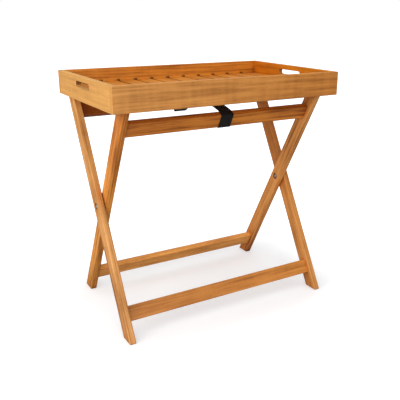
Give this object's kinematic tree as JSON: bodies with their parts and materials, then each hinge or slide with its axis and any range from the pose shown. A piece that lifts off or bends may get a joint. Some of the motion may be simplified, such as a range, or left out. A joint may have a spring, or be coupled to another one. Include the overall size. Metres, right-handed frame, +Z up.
{
  "type": "tray table",
  "caption": "Folding tray table: a slatted wooden tray with hand slots in its ends, resting on a folding X stand that a webbing strap holds open.",
  "frame": {"origin": "on the floor, under the middle of the tray", "axes": "+X along the tray to the right, +Y to the back, +Z up"},
  "size_m": [0.7, 0.432, 0.7015],
  "materials": {
    "rim_wood": "oiled satin",
    "floor_wood": "oiled satin",
    "stand_wood": "oiled satin",
    "webbing": "woven black webbing",
    "steel": "zinc plated"
  },
  "bodies": {
    "outer_frame": {"outer_left_leg": "stand_wood", "outer_right_leg": "stand_wood", "back_rail": "stand_wood", "front_stretcher": "stand_wood", "left_pivot_bolt": "steel", "left_pivot_nut": "steel", "left_pivot_head_washer": "steel", "left_pivot_nut_washer": "steel", "left_pivot_spacer": "steel", "right_pivot_bolt": "steel", "right_pivot_nut": "steel", "right_pivot_head_washer": "steel", "right_pivot_nut_washer": "steel", "right_pivot_spacer": "steel", "strap": "webbing", "back_strap_tacks": "steel"},
    "inner_frame": {"inner_left_leg": "stand_wood", "inner_right_leg": "stand_wood", "front_rail": "stand_wood", "back_stretcher": "stand_wood", "front_strap_tacks": "steel"},
    "tray": {"front_board": "rim_wood", "back_board": "rim_wood", "left_end": "rim_wood", "right_end": "rim_wood", "slat_01": "floor_wood", "slat_02": "floor_wood", "slat_03": "floor_wood", "slat_04": "floor_wood", "slat_05": "floor_wood", "slat_06": "floor_wood", "slat_07": "floor_wood", "slat_08": "floor_wood", "slat_09": "floor_wood", "slat_10": "floor_wood", "slat_11": "floor_wood", "slat_12": "floor_wood", "front_bearer": "floor_wood", "back_bearer": "floor_wood", "corner_dowels": "floor_wood"}
  },
  "joints": [
    {"name": "fold", "type": "hinge", "parent": "outer_frame", "child": "inner_frame", "pos_m": [0, 0, 0.339], "axis": [-1, 0, 0], "range_deg": [0, 51.8], "deforming": ["strap"]},
    {"name": "tray_lift", "type": "slide", "parent": "outer_frame", "child": "tray", "axis": [0, 0, 1], "range_m": [0, 0.227]}
  ],
  "couplings": [
    {"joint": "tray_lift", "follows": "fold", "m_per_rad": 0.25}
  ]
}
